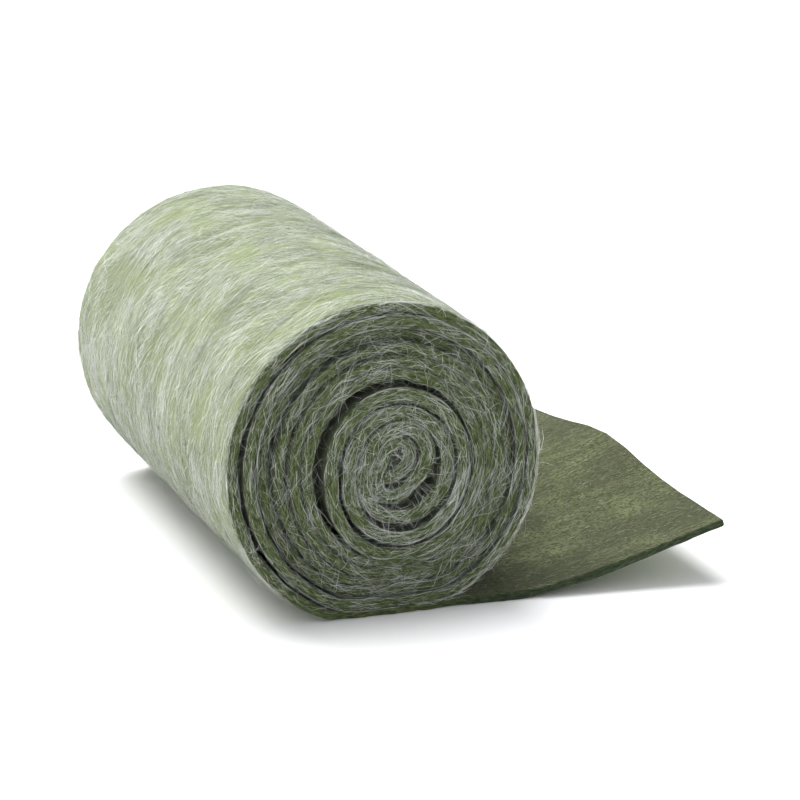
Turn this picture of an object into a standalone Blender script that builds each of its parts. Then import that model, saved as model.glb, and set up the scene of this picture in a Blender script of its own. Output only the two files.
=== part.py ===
"""Roll of felt: one strip of thick wool felt, wound up on itself and lying on its side.

The strip is a single solid. Its section is the felt's thickness, and its path is the true
winding: a folded-in core, ten turns with air between the slack ones, a flat spot pressed on
the floor, and the loose outer end, which runs out along the floor and curls up.
X runs across the roll towards the loose end, Y along its axis away from the viewed end, Z up.
"""

import bmesh
import bpy
import numpy as np

MM = 0.001

# The strip as it is cut, in millimetres.
STRIP_WIDTH = 150.0
FELT = 2.5
SLACK_FELT = 2.85
LOOSE_FELT = 2.0
SLACK_TURNS = 3.5

# The winding. Radii are measured to the middle of the felt from a centre this high above
# the floor. Each row is one turn, from the core outwards, at three, twelve, nine and six
# o'clock as seen from the front. Stands is how far that turn's cut edge sits out in front.
CENTRE_HEIGHT = 35.4
CENTRE_ACROSS = 1.5
TURN_COLUMNS = ("right", "top", "left", "bottom", "stands")
TURNS = (
    (4.1, 4.5, 3.3, 7.0, -0.8),
    (8.6, 8.2, 7.4, 12.1, 0.4),
    (13.4, 12.5, 11.1, 16.9, 1.0),
    (17.1, 16.9, 15.7, 21.1, 2.0),
    (21.0, 21.4, 21.0, 23.7, 0.2),
    (23.8, 24.4, 24.2, 26.4, 0.5),
    (26.6, 27.3, 27.5, 29.0, -0.6),
    (29.4, 30.3, 31.1, 31.6, -2.6),
    (32.2, 33.8, 35.1, 34.2, 0.6),
    (35.0, 36.9, 39.1, 36.9, 0.0),
)
CORE_START_TURN = -0.1
CORE_START_RADIUS = 2.6

# The core is rolled round a fold, so its first turns are oval.
OVAL = 0.25
OVAL_TURNS = 2.2
OVAL_ANGLE = 55.0

# The roll's weight flattens it: the turns stack up from the floor and the felt gets thinner.
PRESS = 0.25
PRESS_ANGLE = 295.0
STACK_PITCH = 2.3
STACK_BLEND = 1.5

# The far end is wound a little looser, and the ends stand slightly askew of the axis.
FAR_END_GROWTH = 0.04
SKEW_ACROSS = 0.058
SKEW_UP = 0.039

# The loose end: height of its underside against distance from the roll's axis.
LOOSE_COLUMNS = ("across", "rise")
LOOSE_END = (
    (30.0, 0.0),
    (36.0, 0.3),
    (42.0, 1.4),
    (50.0, 3.0),
    (58.0, 5.1),
    (66.6, 7.7),
    (85.0, 13.4),
)
LOOSE_STEPS = 15
LOOSE_SPANS = 10
FLAT_STEPS = 5

# The cut end waves: a soft hump half way across the strip, and a lower far corner.
HUMP = 3.4
HUMP_PLACE = 74.0
HUMP_SPREAD = 26.0
CORNER_DROP = 3.2
CORNER_DROP_FROM = 80.0

CORE_STEPS = 24
STEPS_MORE_PER_TURN = 3.0

FELT_GREEN = (0.165, 0.205, 0.105, 1.0)
FELT_ROUGHNESS = 0.95


def clear_scene():
    for obj in list(bpy.data.objects):
        bpy.data.objects.remove(obj, do_unlink=True)


def smoothstep(value, low, high):
    share = np.clip((value - low) / (high - low), 0.0, 1.0)
    return share * share * (3.0 - 2.0 * share)


def smooth_curve(at, knots, heights):
    """A smooth curve through the knots, read at the given places."""
    slopes = np.gradient(heights, knots)
    index = np.clip(np.searchsorted(knots, at) - 1, 0, len(knots) - 2)
    span = knots[index + 1] - knots[index]
    u = (at - knots[index]) / span
    start = heights[index] * (1 + 2 * u) * (1 - u) ** 2 + slopes[index] * span * u * (1 - u) ** 2
    end = heights[index + 1] * u * u * (3 - 2 * u) + slopes[index + 1] * span * u * u * (u - 1)
    return start + end


def turn_places():
    """Where along the winding each cross-section stands, in turns, with the exit last."""
    places = [CORE_START_TURN, CORE_START_TURN / 2]
    for turn in range(len(TURNS)):
        steps = round(CORE_STEPS + STEPS_MORE_PER_TURN * turn)
        places += [turn + step / steps for step in range(steps)]
    return np.array(places + [float(len(TURNS))])


def wound_radius(place):
    """Distance from the winding's centre to the middle of the felt, after so many turns."""
    quarters = np.array([CORE_START_RADIUS] + [r for row in TURNS for r in row[:4]])
    knots = np.arange(len(quarters)) / 4.0
    radius = smooth_curve(np.maximum(place, 0.0), knots, quarters)
    angle = np.radians(270.0 + 360.0 * place - OVAL_ANGLE)
    oval = OVAL * (1.0 - smoothstep(place, 0.6, OVAL_TURNS))
    return radius * (1.0 + oval * np.cos(2.0 * angle))


def wound_thickness(place):
    """Slack felt keeps its thickness near the core. Under the roll it is squeezed."""
    felt = SLACK_FELT + (FELT - SLACK_FELT) * smoothstep(place, SLACK_TURNS, SLACK_TURNS + 1.5)
    angle = np.radians(270.0 + 360.0 * place - PRESS_ANGLE)
    squeeze = (0.5 + 0.5 * np.cos(angle)) ** 2 * smoothstep(place, 1.5, SLACK_TURNS)
    return felt * (1.0 - PRESS * squeeze)


def rest_on_stack(place, height):
    """Keeps each turn above the layers that are between it and the floor."""
    exit_half = wound_thickness(np.array([float(len(TURNS))]))[0] / 2
    layers_below = len(TURNS) - np.round(place)
    floor = exit_half + STACK_PITCH * layers_below
    share = np.clip(0.5 + 0.5 * (floor - height) / STACK_BLEND, 0.0, 1.0)
    return height + (floor - height) * share + STACK_BLEND * share * (1.0 - share)


def wound_path():
    """Places, positions across and up, and thickness along the wound part of the strip."""
    place = turn_places()
    radius = wound_radius(place)
    angle = np.radians(270.0 + 360.0 * place)
    across = CENTRE_ACROSS + radius * np.cos(angle)
    up = rest_on_stack(place, CENTRE_HEIGHT + radius * np.sin(angle))
    return place, across, up, wound_thickness(place)


def loose_path():
    """The same for the loose end, with places counted on past the exit."""
    table = np.array(LOOSE_END)
    flat_end, far = table[0, 0], table[-1, 0]
    flat = np.linspace(CENTRE_ACROSS, flat_end, FLAT_STEPS + 1)[1:]
    curled = np.linspace(flat_end, far, LOOSE_STEPS + 1)[1:]
    across = np.concatenate([flat, curled])
    rise = np.where(across > flat_end, smooth_curve(across, table[:, 0], table[:, 1]), 0.0)
    pressed = wound_thickness(np.array([float(len(TURNS))]))[0]
    thickness = pressed + (LOOSE_FELT - pressed) * smoothstep(across, CENTRE_ACROSS, flat_end)
    place = len(TURNS) + (across - CENTRE_ACROSS) / 250.0
    return place, across, rise + thickness / 2, thickness


def edge_stand(place):
    """How far the cut edge stands out in front at each place along the strip."""
    knots = np.arange(len(TURNS)) + 0.6
    stands = np.array([row[TURN_COLUMNS.index("stands")] for row in TURNS])
    inside = smooth_curve(np.clip(place, knots[0], knots[-1]), knots, stands)
    return inside * (1.0 - smoothstep(place, knots[-1], float(len(TURNS))))


def wave(across, along):
    """Extra height of the loose end at a distance along the strip's width."""
    start, far = LOOSE_END[0][0], LOOSE_END[-1][0]
    grown = np.clip((across - start) / (far - start), 0.0, 1.0) ** 2
    hump = HUMP * np.exp(-(((along - HUMP_PLACE) / HUMP_SPREAD) ** 2))
    drop = CORNER_DROP * smoothstep(along, CORNER_DROP_FROM, STRIP_WIDTH)
    return grown * (hump - drop)


def section_points(across, up, normal, thickness, place, share):
    """One station of a cross-section: its outer-face and inner-face points, in millimetres."""
    along = STRIP_WIDTH * share
    loose = place > len(TURNS)
    growth = FAR_END_GROWTH * share
    if loose:
        growth *= 1.0 - smoothstep(across, CENTRE_ACROSS, LOOSE_END[0][0])
    straight = smoothstep(across, CENTRE_ACROSS, LOOSE_END[2][0]) if loose else 0.0
    skew = SKEW_ACROSS * across + SKEW_UP * (up - CENTRE_HEIGHT)
    front = skew * (1.0 - straight) - edge_stand(np.array([place]))[0]
    points = []
    for side in (1.0, -1.0):
        x = across + side * normal[0] * thickness / 2
        z = up + side * normal[1] * thickness / 2
        x = CENTRE_ACROSS + (x - CENTRE_ACROSS) * (1.0 + growth)
        z = z * (1.0 + growth) + wave(x, along)
        if z < 0.08:
            z = 0.0
        points.append((x, front + along, z))
    return points


def strip_sections():
    """Rows of points across the strip's width for its outer and its inner face."""
    parts = [np.concatenate(pair) for pair in zip(wound_path(), loose_path())]
    place, across, up, thickness = parts
    step = np.stack([np.gradient(across), np.gradient(up)], axis=1)
    step /= np.linalg.norm(step, axis=1)[:, None]
    normals = np.stack([step[:, 1], -step[:, 0]], axis=1)
    outer_rows, inner_rows = [], []
    for i in range(len(place)):
        spans = LOOSE_SPANS if across[i] >= LOOSE_END[0][0] and place[i] > len(TURNS) else 1
        stations = [
            section_points(across[i], up[i], normals[i], thickness[i], place[i], share)
            for share in np.linspace(0.0, 1.0, spans + 1)
        ]
        outer_rows.append([station[0] for station in stations])
        inner_rows.append([station[1] for station in stations])
    return outer_rows, inner_rows


def bridge(bm, first, second):
    """Faces between two neighbouring rows. Where one row has more points, one flat face."""
    if len(first) != len(second):
        bm.faces.new(first + second[::-1])
        return
    for i in range(len(first) - 1):
        bm.faces.new((first[i], first[i + 1], second[i + 1], second[i]))


def build_strip():
    """The strip as one closed mesh: both faces, both cut edges and both cut ends."""
    outer_rows, inner_rows = strip_sections()
    every = np.array([point for row in outer_rows + inner_rows for point in row])
    middle = (every.min(axis=0) + every.max(axis=0)) / 2
    shift = np.array([middle[0], middle[1], every[:, 2].min()])
    bm = bmesh.new()
    outer = [[bm.verts.new((np.array(p) - shift) * MM) for p in row] for row in outer_rows]
    inner = [[bm.verts.new((np.array(p) - shift) * MM) for p in row] for row in inner_rows]
    for i in range(len(outer) - 1):
        bridge(bm, outer[i], outer[i + 1])
        bridge(bm, inner[i + 1], inner[i])
        bm.faces.new((outer[i][0], outer[i + 1][0], inner[i + 1][0], inner[i][0]))
        bm.faces.new((outer[i + 1][-1], outer[i][-1], inner[i][-1], inner[i + 1][-1]))
    bm.faces.new(outer[0][::-1] + inner[0])
    for i in range(len(outer[-1]) - 1):
        bm.faces.new((outer[-1][i], outer[-1][i + 1], inner[-1][i + 1], inner[-1][i]))
    bmesh.ops.recalc_face_normals(bm, faces=bm.faces)
    mesh = bpy.data.meshes.new("felt_strip")
    bm.to_mesh(mesh)
    bm.free()
    mesh.shade_smooth()
    mesh.set_sharp_from_angle(angle=np.radians(35.0))
    return mesh


def felt_material():
    material = bpy.data.materials.new("sage_green_felt")
    material.use_nodes = True
    surface = material.node_tree.nodes["Principled BSDF"]
    surface.inputs["Base Color"].default_value = FELT_GREEN
    surface.inputs["Roughness"].default_value = FELT_ROUGHNESS
    surface.inputs["Metallic"].default_value = 0.0
    return material


clear_scene()
strip = bpy.data.objects.new("felt_strip", build_strip())
strip.data.materials.append(felt_material())
bpy.context.scene.collection.objects.link(strip)
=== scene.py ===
"""Looks of the roll of felt: the wound strip, its hair and the studio round it.

All shapes come from the strip's own path, so hair grows out of the felt wherever the strip goes.
Lengths are in millimetres until a mesh is made, which turns them into metres.
"""

import bpy
import numpy as np
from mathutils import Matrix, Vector


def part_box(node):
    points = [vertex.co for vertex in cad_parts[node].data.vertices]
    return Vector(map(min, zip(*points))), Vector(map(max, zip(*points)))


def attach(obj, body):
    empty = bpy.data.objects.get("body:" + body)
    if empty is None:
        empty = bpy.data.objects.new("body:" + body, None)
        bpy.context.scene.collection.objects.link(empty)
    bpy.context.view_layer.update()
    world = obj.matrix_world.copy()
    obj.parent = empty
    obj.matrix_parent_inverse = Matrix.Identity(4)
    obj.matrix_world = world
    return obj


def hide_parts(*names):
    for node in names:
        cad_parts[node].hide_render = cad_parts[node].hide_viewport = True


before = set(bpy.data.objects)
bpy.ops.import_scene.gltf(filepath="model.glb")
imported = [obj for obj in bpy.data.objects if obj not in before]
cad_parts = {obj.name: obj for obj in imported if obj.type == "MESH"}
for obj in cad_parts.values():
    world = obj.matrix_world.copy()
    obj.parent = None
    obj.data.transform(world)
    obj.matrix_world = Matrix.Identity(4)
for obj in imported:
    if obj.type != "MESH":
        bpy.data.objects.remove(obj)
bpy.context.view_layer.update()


# Path of the strip: one cut length of thick wool felt, wound up by hand round a folded-in core.
# The inner turns are slack, the roll's weight flattens it on the floor, and the loose outer end
# runs out along the floor and curls up. Nothing holds it: the felt's own stiffness keeps the form.
MM = 0.001
STRIP_WIDTH = 150.0
FELT = 2.5
SLACK_FELT = 2.85
LOOSE_FELT = 2.0
SLACK_TURNS = 3.5
SLACK_FADE = 1.5
CENTRE_HEIGHT = 35.4
CENTRE_ACROSS = 1.5
# Each turn's distance from the centre on four sides, and how far its cut edge stands out in front.
TURN_COLUMNS = ("right", "top", "left", "bottom", "stands")
TURNS = (
    (4.1, 4.5, 3.3, 7.0, -0.8),
    (8.6, 8.2, 7.4, 12.1, 0.4),
    (13.4, 12.5, 11.1, 16.9, 1.0),
    (17.1, 16.9, 15.7, 21.1, 2.0),
    (21.0, 21.4, 21.0, 23.7, 0.2),
    (23.8, 24.4, 24.2, 26.4, 0.5),
    (26.6, 27.3, 27.5, 29.0, -0.6),
    (29.4, 30.3, 31.1, 31.6, -2.6),
    (32.2, 33.8, 35.1, 34.2, 0.6),
    (35.0, 36.9, 39.1, 36.9, 0.0),
)
CORE_START_TURN = -0.1
CORE_START_RADIUS = 2.6
OVAL = 0.25
OVAL_TURNS = (0.6, 2.2)
OVAL_ANGLE = 55.0
PRESS = 0.25
PRESS_ANGLE = 295.0
PRESS_FROM_TURN = 1.5
STACK_PITCH = 2.3
STACK_BLEND = 1.5
FAR_END_GROWTH = 0.04
SKEW_ACROSS = 0.058
SKEW_UP = 0.039
STANDS_AT = 0.6
OUTER_TURN_SPAN = 0.98
# Columns: how far across, and how far the underside has risen off the floor there.
LOOSE_END = (
    (30.0, 0.0),
    (36.0, 0.3),
    (42.0, 1.4),
    (50.0, 3.0),
    (58.0, 5.1),
    (66.6, 7.7),
    (85.0, 13.4),
)
LOOSE_TURN_LENGTH = 250.0
HUMP = 3.4
HUMP_PLACE = 74.0
HUMP_SPREAD = 26.0
CORNER_DROP = 3.2
CORNER_DROP_FROM = 80.0
WOUND_SAMPLES = 7200
LOOSE_SAMPLES = 600


def smoothstep(value, low, high):
    """0 up to low, 1 from high on, and a smooth rise between them."""
    share = np.clip((value - low) / (high - low), 0.0, 1.0)
    return share * share * (3.0 - 2.0 * share)


def smooth_curve(at, knots, heights):
    """A smooth curve through the knots, read at the given places."""
    slopes = np.gradient(heights, knots)
    index = np.clip(np.searchsorted(knots, at) - 1, 0, len(knots) - 2)
    span = knots[index + 1] - knots[index]
    u = (at - knots[index]) / span
    start = heights[index] * (1 + 2 * u) * (1 - u) ** 2 + slopes[index] * span * u * (1 - u) ** 2
    end = heights[index + 1] * u * u * (3 - 2 * u) + slopes[index + 1] * span * u * u * (u - 1)
    return start + end


def direction(place, past=0.0):
    """The way out from the centre, in radians past an angle. Each turn starts straight below."""
    return np.radians(270.0 + 360.0 * place - past)


def wound_radius(place):
    """Distance from the winding's centre to the middle of the felt, after so many turns."""
    quarters = np.array([CORE_START_RADIUS] + [r for row in TURNS for r in row[:4]])
    radius = smooth_curve(np.maximum(place, 0.0), np.arange(len(quarters)) / 4.0, quarters)
    angle = direction(place, OVAL_ANGLE)
    oval = OVAL * (1.0 - smoothstep(place, *OVAL_TURNS))
    return radius * (1.0 + oval * np.cos(2.0 * angle))


def slackness(place):
    """1 in the slack turns near the core, fading to 0 in the tighter ones."""
    return 1.0 - smoothstep(place, SLACK_TURNS, SLACK_TURNS + SLACK_FADE)


def wound_thickness(place):
    """Slack felt keeps its thickness near the core. Under the roll it is squeezed."""
    felt = FELT + (SLACK_FELT - FELT) * slackness(place)
    angle = direction(place, PRESS_ANGLE)
    squeeze = (0.5 + 0.5 * np.cos(angle)) ** 2 * smoothstep(place, PRESS_FROM_TURN, SLACK_TURNS)
    return felt * (1.0 - PRESS * squeeze)


def rest_on_stack(place, height):
    """Keeps each turn above the layers that are between it and the floor."""
    layers_below = len(TURNS) - np.round(place)
    floor = wound_thickness(float(len(TURNS))) / 2 + STACK_PITCH * layers_below
    share = np.clip(0.5 + 0.5 * (floor - height) / STACK_BLEND, 0.0, 1.0)
    return height + (floor - height) * share + STACK_BLEND * share * (1.0 - share)


def strip_path():
    """The strip's middle line by length: place in turns, across, up, thickness and normal."""
    place = np.linspace(CORE_START_TURN, len(TURNS), WOUND_SAMPLES)
    angle = direction(place)
    radius = wound_radius(place)
    wound_across = CENTRE_ACROSS + radius * np.cos(angle)
    wound_up = rest_on_stack(place, CENTRE_HEIGHT + radius * np.sin(angle))
    table = np.array(LOOSE_END)
    across = np.linspace(CENTRE_ACROSS, table[-1, 0], LOOSE_SAMPLES + 1)[1:]
    rise = np.where(across > table[0, 0], smooth_curve(across, table[:, 0], table[:, 1]), 0.0)
    pressed = wound_thickness(float(len(TURNS)))
    thickness = pressed + (LOOSE_FELT - pressed) * smoothstep(across, CENTRE_ACROSS, table[0, 0])
    loose_place = len(TURNS) + (across - CENTRE_ACROSS) / LOOSE_TURN_LENGTH
    path = {
        "place": np.concatenate([place, loose_place]),
        "across": np.concatenate([wound_across, across]),
        "up": np.concatenate([wound_up, rise + thickness / 2]),
        "thickness": np.concatenate([wound_thickness(place), thickness]),
    }
    step = np.stack([np.gradient(path["across"]), np.gradient(path["up"])])
    size = np.linalg.norm(step, axis=0)
    path["normal_across"], path["normal_up"] = step[1] / size, -step[0] / size
    moves = np.hypot(np.diff(path["across"]), np.diff(path["up"]))
    path["length"] = np.concatenate([[0.0], np.cumsum(moves)])
    return path


def edge_stand(place):
    """How far the cut edge stands out in front at each place along the strip."""
    knots = np.arange(len(TURNS)) + STANDS_AT
    stands = np.array([row[TURN_COLUMNS.index("stands")] for row in TURNS])
    inside = smooth_curve(np.clip(place, knots[0], knots[-1]), knots, stands)
    return inside * (1.0 - smoothstep(place, knots[-1], float(len(TURNS))))


def wave(across, along):
    """Extra height of the loose end at a distance along the strip's width."""
    start, far = LOOSE_END[0][0], LOOSE_END[-1][0]
    grown = np.clip((across - start) / (far - start), 0.0, 1.0) ** 2
    hump = HUMP * np.exp(-(((along - HUMP_PLACE) / HUMP_SPREAD) ** 2))
    drop = CORNER_DROP * smoothstep(along, CORNER_DROP_FROM, STRIP_WIDTH)
    return grown * (hump - drop)


def on_path(name, length):
    """One of the path's columns, read at lengths along the strip."""
    return np.interp(length, path["length"], path[name])


def in_felt(length, along, off):
    """Points of the felt: so far along the strip, across its width, and off its middle."""
    across, up, place = (on_path(name, length) for name in ("across", "up", "place"))
    share = np.clip(along / STRIP_WIDTH, 0.0, 1.0)
    loose = place > len(TURNS)
    flat_end, curl = LOOSE_END[0][0], LOOSE_END[2][0]
    kept = 1.0 - np.where(loose, smoothstep(across, CENTRE_ACROSS, flat_end), 0.0)
    growth = 1.0 + FAR_END_GROWTH * share * kept
    straight = np.where(loose, smoothstep(across, CENTRE_ACROSS, curl), 0.0)
    skew = SKEW_ACROSS * across + SKEW_UP * (up - CENTRE_HEIGHT)
    x = CENTRE_ACROSS + (across + off * on_path("normal_across", length) - CENTRE_ACROSS) * growth
    y = along + skew * (1.0 - straight) - edge_stand(place)
    z = (up + off * on_path("normal_up", length)) * growth + wave(x, along)
    return np.stack(np.broadcast_arrays(x, y, z), axis=-1)


path = strip_path()
strip_length = path["length"][-1]
exit_length = np.interp(len(TURNS), path["place"], path["length"])
outer_turn_start = np.interp(len(TURNS) - OUTER_TURN_SPAN, path["place"], path["length"])


def row_origin():
    """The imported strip's origin in the path's own axes, from the box round the same shape."""
    low, high = (np.array(corner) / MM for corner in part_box("felt_strip"))
    lengths = path["length"][:, None]
    half = path["thickness"][:, None] / 2
    widths = (0.0, STRIP_WIDTH / 2, STRIP_WIDTH)
    reach = [in_felt(lengths, along, side * half) for along in widths for side in (-1, 1)]
    reach = np.concatenate([points.reshape(-1, 3) for points in reach])
    middle = (reach.min(axis=0) + reach.max(axis=0)) / 2 - (low + high) / 2
    return np.array([middle[0], middle[1], 0.0])


origin = row_origin()

# Body of the felt: dense needled wool about 2.5 mm thick, cut with a rotary blade, so the arris
# is crisp but furred. The faces wander a little in thickness, and the cut edges a little in width.
# It is sage green with near-white fibres carded in, matted inside, and deep green where cut.
# Painted shade also darkens the loose end's cut edges.
# Painted shade darkens the faces that another turn covers, in the gaps between turns.
STEP_ALONG_STRIP = 1.25
ARRIS = 0.4
ARRIS_POINTS = ((0.0, 1.0), (0.12, 0.5), (0.5, 0.12), (1.0, 0.0))
FACE_STATIONS = (0.9, 2.0, 4.5, 9.0, 16.0, 26.0, 38.0, 50.0, 62.0)
CUT_FACE_STATIONS = (0.3, 0.0, -0.3)
TIP_SCALES = ((0.0, 0.7), (0.15, 0.9), (0.5, 1.0))
WAVES_ADDED = 6
WAVE_SPREAD = (0.6, 1.8)
WAVES_PEAK = 2.6
FACE_WANDER = 0.09
FACE_WAVE = 14.0
EDGE_WANDER = 0.3
EDGE_WAVES = (9.0, 2.5)
FINE_EDGE_SHARE = 0.8
FINE_EDGE_STRETCH = 4.0
FACE_SEED, EDGE_SEED, FINE_EDGE_SEED = 5, 6, 7
EDGE_ZONE = 4.0
EDGE_FLARE = 0.1
SLACK_FLARE = 0.3
LOOSE_CUT_TRUER = 0.7
LOOSE_FADE = (len(TURNS) + 0.02, len(TURNS) + 0.1)
OUTER_SIDE_COVERED_TO = len(TURNS) - 1.02
INNER_SIDE_COVERED_TO = len(TURNS) + 0.02
COVERED_FADE = 0.02
RIM_WIDTH = 3.0
DRIFT_SCALE = 28.0
DRIFT_PUSH = (0.0, 0.02, 0.0)
STROKE_SHAPE = (230.0, 1900.0, 1500.0)
PATCH_SHAPE = (30.0, 110.0, 60.0)
GRAIN_SHAPE = (420.0, 900.0, 1900.0)
CLOUD_SCALE = 45.0
SPECK_SCALE = 1400.0
STROKE_RANGE = (0.38, 0.62)
PATCH_RANGE = (0.25, 0.75)
FLECK_RANGE = (0.42, 0.68)
CLOUD_RANGE = (0.42, 0.60)
SPECK_RANGE = (0.38, 0.60)
MATTED_RANGE = (-0.15, 0.80)
BUMP_DEPTH = 0.0004
SHEEN_GREEN = (0.80, 0.86, 0.68, 1.0)
GROUND_GREEN = (0.185, 0.222, 0.098, 1.0)
PALE_SAGE = (0.40, 0.45, 0.30, 1.0)
RIM_GREEN = (0.080, 0.105, 0.040, 1.0)
INNER_GREEN = (0.036, 0.042, 0.015, 1.0)
INNER_PALE = (0.145, 0.166, 0.076, 1.0)
INNER_BROWN = (0.084, 0.086, 0.046, 1.0)
# Painted shade for the gaps between turns: faces that another turn covers take this flat dark green
# instead of their own felt colour.
COVERED_SHADE_GREEN = (0.034, 0.046, 0.019, 1.0)
CUT_GREEN = (0.036, 0.050, 0.018, 1.0)
CUT_PALE = (0.150, 0.187, 0.078, 1.0)
# Painted shade: the loose end's cut edges take a darker copy of the same felt's cut colours above.
LOOSE_CUT_SHADE_GREEN = (0.018, 0.028, 0.013, 1.0)
LOOSE_CUT_SHADE_PALE = (0.070, 0.092, 0.048, 1.0)


def wander(length, along, wavelength, seed):
    """A smooth random value of about -1 to 1 over the strip, with waves of this size."""
    waves = np.random.default_rng(seed)
    total = 0.0
    for _ in range(WAVES_ADDED):
        heading = waves.uniform(0.0, 2.0 * np.pi)
        size = 2.0 * np.pi / (wavelength * waves.uniform(*WAVE_SPREAD))
        phase = waves.uniform(0.0, 2.0 * np.pi)
        total = total + np.sin(size * (length * np.cos(heading) + along * np.sin(heading)) + phase)
    return total / WAVES_PEAK


def strip_profile():
    """Once round the strip's section: along, side of the middle, inset from the face, and cut.

    A station in the middle of a cut edge has no inset, because it lies on no face.
    """
    front = [(ARRIS * a, 1.0, ARRIS * b, 1.0 - a) for a, b in ARRIS_POINTS]
    near = [(y, 1.0, 0.0, 0.0) for y in FACE_STATIONS]
    half = front + near + [(STRIP_WIDTH / 2, 1.0, 0.0, 0.0)]
    outer = half + [(STRIP_WIDTH - a, s, i, c) for a, s, i, c in half[-2::-1]]
    inner = [(a, -s, i, c) for a, s, i, c in outer[::-1]]
    far_cut = [(STRIP_WIDTH, share, np.nan, 1.0) for share in CUT_FACE_STATIONS]
    near_cut = [(0.0, -share, np.nan, 1.0) for share in CUT_FACE_STATIONS]
    return outer + far_cut + inner + near_cut


def felt_rows():
    """Lengths of the felt's rows along the strip, and how thick each is against its neighbours."""
    tips = np.array(TIP_SCALES)
    between = np.arange(0.0, strip_length, STEP_ALONG_STRIP)[1:-1]
    lengths = np.concatenate([tips[:, 0], between, strip_length - tips[::-1, 0]])
    scale = np.ones(len(lengths))
    scale[: len(tips)], scale[-len(tips) :] = tips[:, 1], tips[::-1, 1]
    return lengths[:, None], scale[:, None]


def closed_tube_faces(rows, corners):
    """Faces of a tube of so many rows with so many corners each, closed at both ends."""
    i, j = np.meshgrid(np.arange(rows - 1), np.arange(corners), indexing="ij")
    after = (j + 1) % corners
    low, high = i * corners, (i + 1) * corners
    sides = np.stack([low + j, low + after, high + after, high + j], -1).reshape(-1, 4).tolist()
    first = list(range(corners))
    last = list(range((rows - 1) * corners, rows * corners))
    return sides + [first[::-1], last]


def keep_on_mesh(mesh, name, values, shape):
    """Writes one value for each point of the mesh, for its material to read."""
    values = np.broadcast_to(values, shape).astype(np.float32).ravel()
    mesh.attributes.new(name, "FLOAT", "POINT").data.foreach_set("value", values)


def build_felt():
    """The felt as one closed mesh, with each point's place on the flat strip kept on it."""
    lengths, scale = felt_rows()
    along, side, inset, cut = (np.array(column)[None, :] for column in zip(*strip_profile()))
    half = on_path("thickness", lengths) / 2 * scale
    place = on_path("place", lengths)
    near_edge = 1.0 - smoothstep(np.minimum(along, STRIP_WIDTH - along), 0.0, EDGE_ZONE)
    flare = EDGE_FLARE + (SLACK_FLARE - EDGE_FLARE) * slackness(place)
    flare = flare * near_edge * (place < len(TURNS))
    puff = FACE_WANDER * wander(lengths, along, FACE_WAVE, FACE_SEED) + flare
    on_cut = side * (half + flare - ARRIS) * 2
    off = np.where(np.isnan(inset), on_cut, np.sign(side) * (half - inset + puff))
    loose = smoothstep(place, *LOOSE_FADE)
    broad = wander(lengths, 0.0, EDGE_WAVES[0], EDGE_SEED)
    fine = wander(lengths, FINE_EDGE_STRETCH * off, EDGE_WAVES[1], FINE_EDGE_SEED)
    moved = EDGE_WANDER * (broad + FINE_EDGE_SHARE * fine) * (1.0 - LOOSE_CUT_TRUER * loose)
    points = in_felt(lengths, along + moved * near_edge, off)
    points[..., 2] = np.maximum(points[..., 2], 0.0)
    shape = points.shape[:2]
    mesh = bpy.data.meshes.new("felt")
    mesh.from_pydata((points.reshape(-1, 3) - origin) * MM, [], closed_tube_faces(*shape))
    cut = np.broadcast_to(cut, shape).copy()
    cut[0], cut[-1] = 1.0, 1.0
    keep_on_mesh(mesh, "cut", cut, shape)
    keep_on_mesh(mesh, "inner", side < 0.0, shape)
    # Painted shade: marks the faces that another turn covers, so that the material darkens them as the
    # shaded gaps between turns.
    covered_to = np.where(side < 0.0, INNER_SIDE_COVERED_TO, OUTER_SIDE_COVERED_TO)
    covered_shade = 1.0 - smoothstep(place - covered_to, -COVERED_FADE, COVERED_FADE)
    keep_on_mesh(mesh, "covered_shade", covered_shade, shape)
    keep_on_mesh(mesh, "loose", loose, shape)
    keep_on_mesh(mesh, "rim", 1.0 - smoothstep(along, 0.0, RIM_WIDTH), shape)
    flat = np.stack(np.broadcast_arrays(lengths, along, off), axis=-1).reshape(-1, 3) * MM
    mesh.attributes.new("strip", "FLOAT_VECTOR", "POINT").data.foreach_set("vector", flat.ravel())
    mesh.shade_smooth()
    return bpy.data.objects.new("felt", mesh)


def kept_on_mesh(tree, name):
    """The node that reads what the mesh keeps under this name."""
    reader = tree.nodes.new("ShaderNodeAttribute")
    reader.attribute_name = name
    return reader


def noise(tree, place, scale=1.0, detail=3.0, roughness=0.5):
    """Blender's noise over the given places. Fac and Color are its outputs."""
    made = tree.nodes.new("ShaderNodeTexNoise")
    made.inputs["Scale"].default_value = scale
    made.inputs["Detail"].default_value = detail
    made.inputs["Roughness"].default_value = roughness
    tree.links.new(place, made.inputs["Vector"])
    return made


def stretched(tree, place, scale):
    """Places on the strip, stretched so that noise over them makes strokes of this shape."""
    mapping = tree.nodes.new("ShaderNodeMapping")
    mapping.inputs["Scale"].default_value = scale
    tree.links.new(place, mapping.inputs["Vector"])
    return mapping.outputs[0]


def blend_colours(tree, factor, first, second):
    """A colour mix. Each input is a constant or another node's output.

    The Mix node's sockets 0, 6 and 7 are its factor and its two colours. 2 puts the colour out.
    """
    mix = tree.nodes.new("ShaderNodeMix")
    mix.data_type = "RGBA"
    for number, value in ((0, factor), (6, first), (7, second)):
        if isinstance(value, bpy.types.NodeSocket):
            tree.links.new(value, mix.inputs[number])
        else:
            mix.inputs[number].default_value = value
    return mix.outputs[2]


def ramp(tree, source, low, high):
    """Stretches a value so that low becomes 0 and high becomes 1."""
    spread = tree.nodes.new("ShaderNodeMapRange")
    spread.inputs["From Min"].default_value = low
    spread.inputs["From Max"].default_value = high
    tree.links.new(source, spread.inputs["Value"])
    return spread.outputs["Result"]


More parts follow.
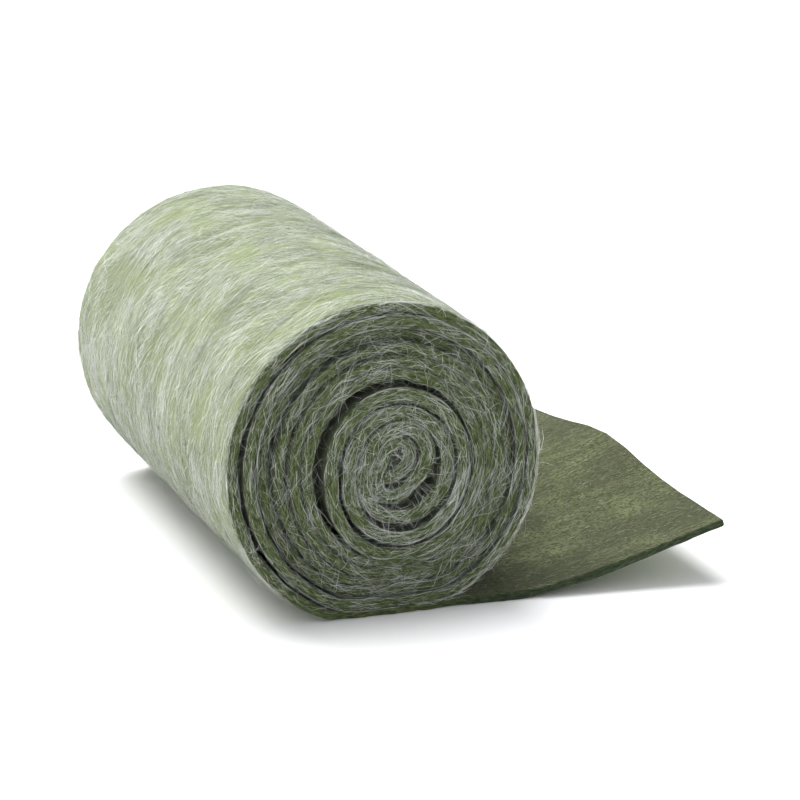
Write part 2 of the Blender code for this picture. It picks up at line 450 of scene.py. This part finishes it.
def streaks_group():
    """Fine strokes along the strip, drifting like the hair. Puts out a mask and patches."""
    tree = bpy.data.node_groups.new("felt_streaks", "ShaderNodeTree")
    tree.interface.new_socket("Vector", in_out="INPUT", socket_type="NodeSocketVector")
    tree.interface.new_socket("Strokes", in_out="OUTPUT", socket_type="NodeSocketFloat")
    tree.interface.new_socket("Patches", in_out="OUTPUT", socket_type="NodeSocketFloat")
    source = tree.nodes.new("NodeGroupInput")
    result = tree.nodes.new("NodeGroupOutput")
    drift = noise(tree, source.outputs["Vector"], DRIFT_SCALE, detail=2.0)
    push = tree.nodes.new("ShaderNodeVectorMath")
    push.operation = "MULTIPLY_ADD"
    push.inputs[1].default_value = DRIFT_PUSH
    tree.links.new(drift.outputs["Color"], push.inputs[0])
    tree.links.new(source.outputs["Vector"], push.inputs[2])
    strokes = noise(tree, stretched(tree, push.outputs[0], STROKE_SHAPE), roughness=0.6)
    patches = noise(tree, stretched(tree, push.outputs[0], PATCH_SHAPE), roughness=0.55)
    tree.links.new(ramp(tree, strokes.outputs["Fac"], *STROKE_RANGE), result.inputs["Strokes"])
    tree.links.new(ramp(tree, patches.outputs["Fac"], *PATCH_RANGE), result.inputs["Patches"])
    return tree


def felt_material():
    """Felt: streaky on its hairy face, mottled on its matted one, granular on its cut edges."""
    material = bpy.data.materials.new("sage_green_felt")
    material.use_nodes = True
    tree = material.node_tree
    surface = tree.nodes["Principled BSDF"]
    surface.inputs["Roughness"].default_value = 0.9
    surface.inputs["Sheen Weight"].default_value = 0.14
    surface.inputs["Sheen Roughness"].default_value = 0.5
    surface.inputs["Sheen Tint"].default_value = SHEEN_GREEN
    surface.inputs["Specular IOR Level"].default_value = 0.15
    strip = kept_on_mesh(tree, "strip").outputs["Vector"]
    cut, rim, inner, covered_shade, loose = (
        kept_on_mesh(tree, name).outputs["Fac"] for name in ("cut", "rim", "inner", "covered_shade", "loose")
    )
    streaks = tree.nodes.new("ShaderNodeGroup")
    streaks.node_tree = streaks_group()
    tree.links.new(strip, streaks.inputs["Vector"])
    patches, strokes = streaks.outputs["Patches"], streaks.outputs["Strokes"]
    layered = stretched(tree, strip, GRAIN_SHAPE)
    grain = noise(tree, layered, detail=4.0, roughness=0.7).outputs["Fac"]
    clouds = noise(tree, strip, CLOUD_SCALE).outputs["Fac"]
    specks = noise(tree, strip, SPECK_SCALE, detail=2.0, roughness=0.6).outputs["Fac"]
    flecks = ramp(tree, grain, *FLECK_RANGE)

    patched = blend_colours(tree, patches, GROUND_GREEN, PALE_SAGE)
    hairy = blend_colours(tree, strokes, GROUND_GREEN, patched)
    hairy = blend_colours(tree, rim, hairy, RIM_GREEN)
    tinted = blend_colours(tree, ramp(tree, clouds, *CLOUD_RANGE), INNER_BROWN, INNER_PALE)
    speckled = blend_colours(tree, ramp(tree, specks, *SPECK_RANGE), INNER_GREEN, tinted)
    matted = blend_colours(tree, ramp(tree, patches, *MATTED_RANGE), INNER_GREEN, speckled)
    face = blend_colours(tree, inner, hairy, matted)
    # Painted shade: faces covered by another turn go flat dark green, standing in for the shade in the
    # gaps between turns.
    face = blend_colours(tree, covered_shade, face, COVERED_SHADE_GREEN)
    wound_cut = blend_colours(tree, flecks, CUT_GREEN, CUT_PALE)
    # Painted shade: the loose end's cut edges get the darker copy of the cut colours.
    shaded_loose_cut = blend_colours(tree, flecks, LOOSE_CUT_SHADE_GREEN, LOOSE_CUT_SHADE_PALE)
    cut_face = blend_colours(tree, loose, wound_cut, shaded_loose_cut)
    tree.links.new(blend_colours(tree, cut, face, cut_face), surface.inputs["Base Color"])

    rough = tree.nodes.new("ShaderNodeMath")
    rough.operation = "ADD"
    tree.links.new(strokes, rough.inputs[0])
    tree.links.new(grain, rough.inputs[1])
    bump = tree.nodes.new("ShaderNodeBump")
    bump.inputs["Strength"].default_value = 0.7
    bump.inputs["Distance"].default_value = BUMP_DEPTH
    tree.links.new(rough.outputs[0], bump.inputs["Height"])
    tree.links.new(bump.outputs[0], surface.inputs["Normal"])
    return material


felt = build_felt()
felt.data.materials.append(felt_material())
bpy.context.scene.collection.objects.link(felt)
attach(felt, "root")
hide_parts("felt_strip")

# Hair of the outer face: long lustrous wool left on the felt's good side. It lies along the
# strip in locks that drift a few degrees either way, with some strays standing off the roll.
# Each hair runs from olive to near-white by its own tone, and thins out at the seen rim.
# Columns: name, locks, hairs in a lock, shortest, longest, points, most lift.
ROLL_HAIR = (
    ("roll_hair_short", 8000, 4, 2.5, 6.0, 3, 0.5),
    ("roll_hair_middle", 3000, 5, 4.5, 10.0, 4, 0.7),
    ("roll_hair_long", 1500, 5, 8.0, 17.0, 5, 0.9),
    ("roll_hair_stray", 2200, 1, 5.0, 13.0, 5, 2.4),
)
ROLL_HAIR_STOPS = 4.0
ROOTS_PAST_CUT = 1.0
LOCK_WIDTH = 1.3
LOCK_LENGTH = 2.0
LOCK_LEAN = 10.0
LOCK_DRIFT = 32.0
LOCK_SPREAD = 13.0
HAIR_SPREAD = 24.0
HAIR_BEND = 40.0
DRIFT_WAVE, DRIFT_SEED = 42.0, 11
TONE_WAVE, TONE_SEED = 30.0, 12
MIDDLE_TONE = 0.5
TONE_WANDER = 0.22
TONE_WANDER_SQUEEZE = 2.0
LOCK_TONE_SPREAD = 0.14
HAIR_TONE_SPREAD = 0.34
THICK_PALER = 0.45
LEAST_LIFT = 0.08
FEW_LIFTED = 2.5
ARCH_FROM = 0.06
ARCH_SPAN = 0.8
ROOT_DEPTH = 0.06
FINE_RADIUS = 0.020
THICK_RADIUS = 0.050
FEW_THICK = 2.6
PAST_RIM = 4.5
RIM_THINNED = 2.5
FLOOR_CLEARANCE = 0.15
NEARLY_ALONG = 0.8
NEVER_ZERO = 1e-9
HAIR_OLIVE = (0.200, 0.245, 0.115, 1.0)
HAIR_WHITE = (0.95, 0.97, 0.95, 1.0)


def hair_material():
    """Single wool fibres, from olive to near-white by each hair's own tone."""
    material = bpy.data.materials.new("wool_hair")
    material.use_nodes = True
    tree = material.node_tree
    surface = tree.nodes["Principled BSDF"]
    surface.inputs["Roughness"].default_value = 0.5
    surface.inputs["Specular IOR Level"].default_value = 0.35
    tone = kept_on_mesh(tree, "tone").outputs["Fac"]
    tree.links.new(blend_colours(tree, tone, HAIR_OLIVE, HAIR_WHITE), surface.inputs["Base Color"])
    return material


def spindles(name, points, radii, tone):
    """One closed three-sided hair, thin at both ends, along each row of points."""
    count, rings = points.shape[0], points.shape[1] - 2
    tangent = np.gradient(points, axis=1)
    tangent /= np.linalg.norm(tangent, axis=2, keepdims=True) + NEVER_ZERO
    guide = np.where(np.abs(tangent[..., 1:2]) < NEARLY_ALONG, [0.0, 1.0, 0.0], [1.0, 0.0, 0.0])
    one = np.cross(tangent, guide)
    one /= np.linalg.norm(one, axis=2, keepdims=True) + NEVER_ZERO
    two = np.cross(tangent, one)
    corners = []
    for k in range(3):
        turn = 2.0 * np.pi * k / 3
        spoke = (one * np.cos(turn) + two * np.sin(turn))[:, 1:-1]
        corners.append(points[:, 1:-1] + spoke * radii[:, None, None])
    body = np.stack(corners, axis=2).reshape(count, rings * 3, 3)
    verts = np.concatenate([points[:, :1], body, points[:, -1:]], axis=1)
    size = rings * 3 + 2
    pattern = [(0, 1 + (k + 1) % 3, 1 + k) for k in range(3)]
    for ring in range(rings - 1):
        low, high = 1 + 3 * ring, 4 + 3 * ring
        for k in range(3):
            after = (k + 1) % 3
            pattern += [(low + k, low + after, high + after), (low + k, high + after, high + k)]
    last = 1 + 3 * (rings - 1)
    pattern += [(size - 1, last + k, last + (k + 1) % 3) for k in range(3)]
    faces = (np.array(pattern)[None] + size * np.arange(count)[:, None, None]).reshape(-1, 3)
    mesh = bpy.data.meshes.new(name)
    mesh.from_pydata(((verts - origin) * MM).reshape(-1, 3), [], faces.tolist())
    keep_on_mesh(mesh, "tone", np.repeat(tone, size), count * size)
    mesh.shade_smooth()
    mesh.materials.append(wool_hair)
    piece = bpy.data.objects.new(name, mesh)
    bpy.context.scene.collection.objects.link(piece)
    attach(piece, "root")
    return piece


def walk(angle, size, points):
    """Steps of equal length along each hair's changing heading: forwards and sideways."""
    move = size[:, None] / (points - 1)
    forwards = np.cumsum(np.cos(angle) * move, axis=1) - np.cos(angle[:, :1]) * move
    sideways = np.cumsum(np.sin(angle) * move, axis=1) - np.sin(angle[:, :1]) * move
    return forwards, sideways


def lying_hairs(length, along, side, heading, bend, size, lift, points=4):
    """Hairs that lie on a face of the felt: each starts in the felt, arches and dips again."""
    steps = np.linspace(0.0, 1.0, points)[None, :]
    angle = heading[:, None] + bend[:, None] * (steps - 0.5)
    forwards, sideways = walk(angle, size, points)
    lengths = np.clip(length[:, None] + forwards, 0.0, strip_length)
    height = lift[:, None] * np.sin(np.pi * (ARCH_FROM + ARCH_SPAN * steps)) - ROOT_DEPTH
    off = side * (on_path("thickness", lengths) / 2 + height)
    return in_felt(lengths, along[:, None] + sideways, off)


def roll_hair(name, locks, in_lock, shortest, longest, points, most_lift, seed):
    """One mesh of hairs on the outer turn, grown in locks that share a direction and a tone."""
    draw = np.random.default_rng(seed)
    length = draw.uniform(outer_turn_start, exit_length - ROLL_HAIR_STOPS, locks)
    along = draw.uniform(-ROOTS_PAST_CUT, STRIP_WIDTH + ROOTS_PAST_CUT, locks)
    drift = np.tanh(wander(length, along, DRIFT_WAVE, DRIFT_SEED))
    heading = LOCK_LEAN + LOCK_DRIFT * drift + draw.normal(0.0, LOCK_SPREAD, locks)
    tone = MIDDLE_TONE + TONE_WANDER * wander(length, TONE_WANDER_SQUEEZE * along, TONE_WAVE, TONE_SEED)
    tone = tone + draw.normal(0.0, LOCK_TONE_SPREAD, locks)
    owner = np.repeat(np.arange(locks), in_lock)
    count = len(owner)
    hairs = lying_hairs(
        length[owner] + draw.normal(0.0, LOCK_LENGTH, count),
        along[owner] + draw.normal(0.0, LOCK_WIDTH / 2, count),
        1.0,
        np.radians(heading[owner] + draw.normal(0.0, HAIR_SPREAD, count)),
        np.radians(draw.normal(0.0, HAIR_BEND, count)),
        draw.uniform(shortest, longest, count),
        LEAST_LIFT + (most_lift - LEAST_LIFT) * draw.random(count) ** FEW_LIFTED,
        points,
    )
    thick = draw.random(count) ** FEW_THICK
    radii = FINE_RADIUS + (THICK_RADIUS - FINE_RADIUS) * thick
    shade = tone[owner] + THICK_PALER * thick + draw.normal(0.0, HAIR_TONE_SPREAD, count)
    shade = np.clip(shade, 0.0, 1.0)
    clear = hairs[..., 2].min(axis=1) > FLOOR_CLEARANCE
    past_edge = np.abs(hairs[..., 1] - STRIP_WIDTH / 2).max(axis=1) - STRIP_WIDTH / 2
    thinned = np.where(hairs[:, 0, 1] < STRIP_WIDTH / 2, RIM_THINNED, 0.0)
    clear &= past_edge < PAST_RIM * draw.random(count) - thinned * draw.random(count)
    return spindles(name, hairs[clear], radii[clear], shade[clear])


wool_hair = hair_material()
hair_pieces = [roll_hair(*row, seed=60 + i) for i, row in enumerate(ROLL_HAIR)]

# Hair of the cut edges: fibre ends that the blade pulled out of the felt at both ends of the
# roll. They curl over the cut edge, and some bridge the dark gaps between neighbouring turns.
# They are matted over the tight middle turns and sparser over the two widest gaps.
# Columns: name, hairs, outward, along, last turn, share that crosses to the next turn, shortest,
# longest, points, rise, tone.
EDGE_HAIR = (
    ("front_edge_hair", 5500, -1.0, 0.0, 10.0, 0.35, 3.0, 12.0, 5, 1.2, 0.40),
    ("front_edge_fuzz", 9000, -1.0, 0.0, 10.0, 0.5, 1.0, 4.0, 3, 0.45, -0.1),
    ("front_core_hair", 1100, -1.0, 0.0, 3.2, 0.7, 3.0, 9.0, 5, 1.8, 0.46),
    ("back_edge_hair", 2200, 1.0, STRIP_WIDTH, 10.0, 0.35, 3.0, 12.0, 5, 1.2, 0.40),
    ("back_edge_fuzz", 3600, 1.0, STRIP_WIDTH, 10.0, 0.5, 1.0, 4.0, 3, 0.45, -0.1),
)
MATTED_TURNS = (4.3, 7.3)
OPEN_TURNS = ((3.0, 4.3), (7.5, 9.4))
OPEN_TURNS_KEPT_CLEAR = 0.75
FURTHEST_CROSSING = 6.0
OWN_TURN_REACH = 0.5
CROSSING_SHORTER = 0.75
CROSSING_BEND = 1.0
EDGE_BEND = 0.35
EDGE_LEAN = 0.34
EDGE_WAVER = 0.12
EDGE_LEAST_RISE = 0.08
EDGE_ARCH_FROM = 0.04
EDGE_ARCH_SPAN = 0.78
EDGE_ROOT_DEPTH = 0.1
EDGE_FINE = 0.009
EDGE_THICK = 0.029
EDGE_THICK_PALER = 0.75
EDGE_TONE_SPREAD = 0.22
EDGE_ROOTS_STOP = 20.0
EDGE_HAIR_STOPS = 2.0
WIDEST_REACH = 41.5
LEAST_HEIGHT = 0.3
LOW_HAIR = 3.0
LOW_HAIR_RIGHT_END = 12.0


def edge_hairs(
    name, total, outward, base_along, last_turn, across_share, shortest, longest, points,
    rise, base_tone, seed,
):
    """Hairs that stand out of a cut edge and curl in front of it. outward is -1 at the front."""
    draw = np.random.default_rng(seed)
    last_length = np.interp(last_turn, path["place"], path["length"])
    root_length = draw.uniform(1.0, min(last_length, exit_length - EDGE_ROOTS_STOP), total)
    half = on_path("thickness", root_length) / 2
    root_off = half * draw.uniform(-1.0, 1.0, total)
    root_turn = on_path("place", root_length)
    open_turn = sum((root_turn > low) & (root_turn < high) for low, high in OPEN_TURNS)
    crossing = draw.random(total) < across_share * (1.0 - OPEN_TURNS_KEPT_CLEAR * open_turn)
    any_way, along_turn = draw.uniform(-np.pi, np.pi, total), draw.normal(0.0, EDGE_LEAN, total)
    heading = np.where(crossing, any_way, along_turn) + np.pi * draw.integers(0, 2, total)
    size = draw.uniform(shortest, longest, total) * np.where(crossing, CROSSING_SHORTER, 1.0)
    steps = np.linspace(0.0, 1.0, points)[None, :]
    bend = draw.normal(0.0, np.where(crossing, CROSSING_BEND, EDGE_BEND), total)[:, None] * steps
    angle = heading[:, None] + bend + draw.normal(0.0, EDGE_WAVER, (total, points))
    forwards, sideways = walk(angle, size, points)
    lengths = np.clip(root_length[:, None] + forwards, 0.0, exit_length - EDGE_HAIR_STOPS)
    matted = (root_turn > MATTED_TURNS[0]) & (root_turn < MATTED_TURNS[1])
    own_turn = half + OWN_TURN_REACH * draw.random(total)
    most = np.where(crossing | matted, half + FURTHEST_CROSSING, own_turn)[:, None]
    off = np.clip(root_off[:, None] + sideways, -most, most)
    hairs = in_felt(lengths, base_along + 0.0 * lengths, off)
    height = EDGE_LEAST_RISE + (1.0 - EDGE_LEAST_RISE) * draw.random(total)[:, None] ** 2
    arch = np.sin(np.pi * (EDGE_ARCH_FROM + EDGE_ARCH_SPAN * steps))
    hairs[..., 1] += outward * (rise * height * arch - EDGE_ROOT_DEPTH)
    low = hairs[..., 2].min(axis=1)
    reach = np.hypot(hairs[..., 0] - CENTRE_ACROSS, hairs[..., 2] - CENTRE_HEIGHT).max(axis=1)
    kept = (low > LEAST_HEIGHT) & (reach < WIDEST_REACH)
    kept &= (low > LOW_HAIR) | (hairs[..., 0].max(axis=1) < LOW_HAIR_RIGHT_END)
    thick = draw.random(total) ** FEW_THICK
    radii = EDGE_FINE + (EDGE_THICK - EDGE_FINE) * thick
    tone = base_tone + EDGE_THICK_PALER * thick + draw.normal(0.0, EDGE_TONE_SPREAD, total)
    return spindles(name, hairs[kept], radii[kept], np.clip(tone[kept], 0.0, 1.0))


hair_pieces += [edge_hairs(*row, seed=80 + i) for i, row in enumerate(EDGE_HAIR)]

# Fur of the arris: the face's own hair where the blade cut through it. It shows as a thin pale
# line round the outside of each turn, and makes the roll's front and back rims look soft.
# Columns: name, along, inward, seed.
ARRIS_FUR = (("front_arris_hair", 0.0, 1.0, 71), ("back_arris_hair", STRIP_WIDTH, -1.0, 72))
ARRIS_HAIRS = 2800
ON_OUTER_TURN = 0.45
ARRIS_STOPS = 6.0
ARRIS_ROOTS = (-0.25, 0.5)
ARRIS_LEAN = 0.6
ARRIS_BEND = 0.9
ARRIS_LENGTH = (1.0, 4.5)
ARRIS_LEAST_LIFT = 0.05
OUTER_LIFT = 0.9
BETWEEN_TURNS_LIFT = 0.25
ARRIS_TONE, ARRIS_TONE_SPREAD = 0.5, 0.2
ARRIS_THICK_PALER = 0.3

for name, base_along, inward, seed in ARRIS_FUR:
    draw = np.random.default_rng(seed)
    outer_turn = draw.random(ARRIS_HAIRS) < ON_OUTER_TURN
    on_any = draw.uniform(2.0, exit_length - ARRIS_STOPS, ARRIS_HAIRS)
    on_outer = draw.uniform(outer_turn_start, exit_length - ARRIS_STOPS, ARRIS_HAIRS)
    heading = draw.normal(0.0, ARRIS_LEAN, ARRIS_HAIRS) + np.pi * draw.integers(0, 2, ARRIS_HAIRS)
    most_lift = np.where(outer_turn, OUTER_LIFT, BETWEEN_TURNS_LIFT)
    hairs = lying_hairs(
        np.where(outer_turn, on_outer, on_any),
        base_along + inward * draw.uniform(*ARRIS_ROOTS, ARRIS_HAIRS),
        1.0,
        heading,
        draw.normal(0.0, ARRIS_BEND, ARRIS_HAIRS),
        draw.uniform(*ARRIS_LENGTH, ARRIS_HAIRS),
        ARRIS_LEAST_LIFT + most_lift * draw.random(ARRIS_HAIRS) ** 2,
    )
    kept = hairs[..., 2].min(axis=1) > LEAST_HEIGHT
    thick = draw.random(ARRIS_HAIRS) ** FEW_THICK
    radii = EDGE_FINE + (EDGE_THICK - EDGE_FINE) * thick
    tone = draw.normal(ARRIS_TONE, ARRIS_TONE_SPREAD, ARRIS_HAIRS) + ARRIS_THICK_PALER * thick
    hair_pieces.append(spindles(name, hairs[kept], radii[kept], np.clip(tone[kept], 0.0, 1.0)))

# Hair of the loose end: the felt's inner side is shorter and more matted, so only fine short
# strokes lie on it, along the strip. The side that faces the floor keeps a little of the hair.
# Columns: name, hairs, side, most lift, seed.
LOOSE_HAIR = (
    ("loose_end_top_hair", 8500, -1.0, 0.3, 41),
    ("loose_end_under_hair", 2200, 1.0, 0.4, 42),
)
FROM_ROLL = 6.0
FROM_TIP = 1.0
FROM_CUT = 0.2
SHORT_LENGTH = (1.0, 4.0)
SHORT_RADIUS = (0.014, 0.032)
SHORT_DRIFT = 12.0
SHORT_DRIFT_WAVE = 30.0
SHORT_SPREAD = 32.0
SHORT_BEND = 30.0
SHORT_TONE, SHORT_TONE_SPREAD = 0.10, 0.18

for name, total, side, most_lift, seed in LOOSE_HAIR:
    draw = np.random.default_rng(seed)
    root_length = draw.uniform(exit_length + FROM_ROLL, strip_length - FROM_TIP, total)
    root_along = draw.uniform(FROM_CUT, STRIP_WIDTH - FROM_CUT, total)
    drift = SHORT_DRIFT * wander(root_length, root_along, SHORT_DRIFT_WAVE, seed)
    heading = np.radians(drift + draw.normal(0.0, SHORT_SPREAD, total))
    bend = np.radians(draw.normal(0.0, SHORT_BEND, total))
    size = draw.uniform(*SHORT_LENGTH, total)
    lift = most_lift * draw.random(total) ** 2 + LEAST_LIFT
    hairs = lying_hairs(root_length, root_along, side, heading, bend, size, lift, points=3)
    kept = hairs[..., 2].min(axis=1) > FLOOR_CLEARANCE
    tone = np.clip(draw.normal(SHORT_TONE, SHORT_TONE_SPREAD, total), 0.0, 1.0)
    radii = draw.uniform(*SHORT_RADIUS, total)
    hair_pieces.append(spindles(name, hairs[kept], radii[kept], tone[kept]))


# Studio: a plain pale floor that the roll lies on, one large soft light high at the back left,
# a weaker one at the front, and a pale surround. None of it is part of the object.
FLOOR_SIZE = 12.0
FLOOR_WHITE = (0.86, 0.86, 0.86, 1.0)
# Columns: name, place, width, power.
LIGHTS = (
    ("key_light", (-0.3, 0.8, 1.8), 1.7, 84.0),
    ("front_light", (-0.5, -2.0, 0.8), 1.4, 5.5),
)
SURROUND = (0.95, 0.97, 1.0, 1.0)
SURROUND_STRENGTH = 0.68

corner = FLOOR_SIZE / 2
floor_mesh = bpy.data.meshes.new("floor")
floor_mesh.from_pydata(
    [(-corner, -corner, 0.0), (corner, -corner, 0.0), (corner, corner, 0.0), (-corner, corner, 0.0)],
    [],
    [(0, 1, 2, 3)],
)
floor_material = bpy.data.materials.new("pale_floor")
floor_material.use_nodes = True
floor_surface = floor_material.node_tree.nodes["Principled BSDF"]
floor_surface.inputs["Base Color"].default_value = FLOOR_WHITE
floor_surface.inputs["Roughness"].default_value = 0.8
floor_surface.inputs["Specular IOR Level"].default_value = 0.1
floor_mesh.materials.append(floor_material)
floor = bpy.data.objects.new("floor", floor_mesh)
bpy.context.scene.collection.objects.link(floor)

for name, place, width, power in LIGHTS:
    lamp = bpy.data.lights.new(name, "AREA")
    lamp.size = width
    lamp.energy = power
    holder = bpy.data.objects.new(name, lamp)
    holder.location = place
    holder.rotation_mode = "QUATERNION"
    holder.rotation_quaternion = Vector([-c for c in place]).to_track_quat("-Z", "Y")
    bpy.context.scene.collection.objects.link(holder)

world = bpy.data.worlds.new("studio")
bpy.context.scene.world = world
world.use_nodes = True
world.node_tree.nodes["Background"].inputs["Color"].default_value = SURROUND
world.node_tree.nodes["Background"].inputs["Strength"].default_value = SURROUND_STRENGTH
bpy.context.scene.view_settings.view_transform = "Standard"

# Camera: where the photograph was taken from, a little above the roll and off its left end.
CAMERA_PLACE = (-204.1, -636.0, 212.5)
CAMERA_TURN = -18.05
CAMERA_DOWN = 13.59
camera_data = bpy.data.cameras.new("camera")
camera_data.lens = 135.0
camera_data.sensor_width = 36.0
camera_data.clip_end = 40.0
camera = bpy.data.objects.new("camera", camera_data)
camera.location = (np.array(CAMERA_PLACE) - origin) * MM
camera.rotation_euler = (np.radians(90.0 - CAMERA_DOWN), 0.0, np.radians(CAMERA_TURN))
bpy.context.scene.collection.objects.link(camera)
bpy.context.scene.camera = camera
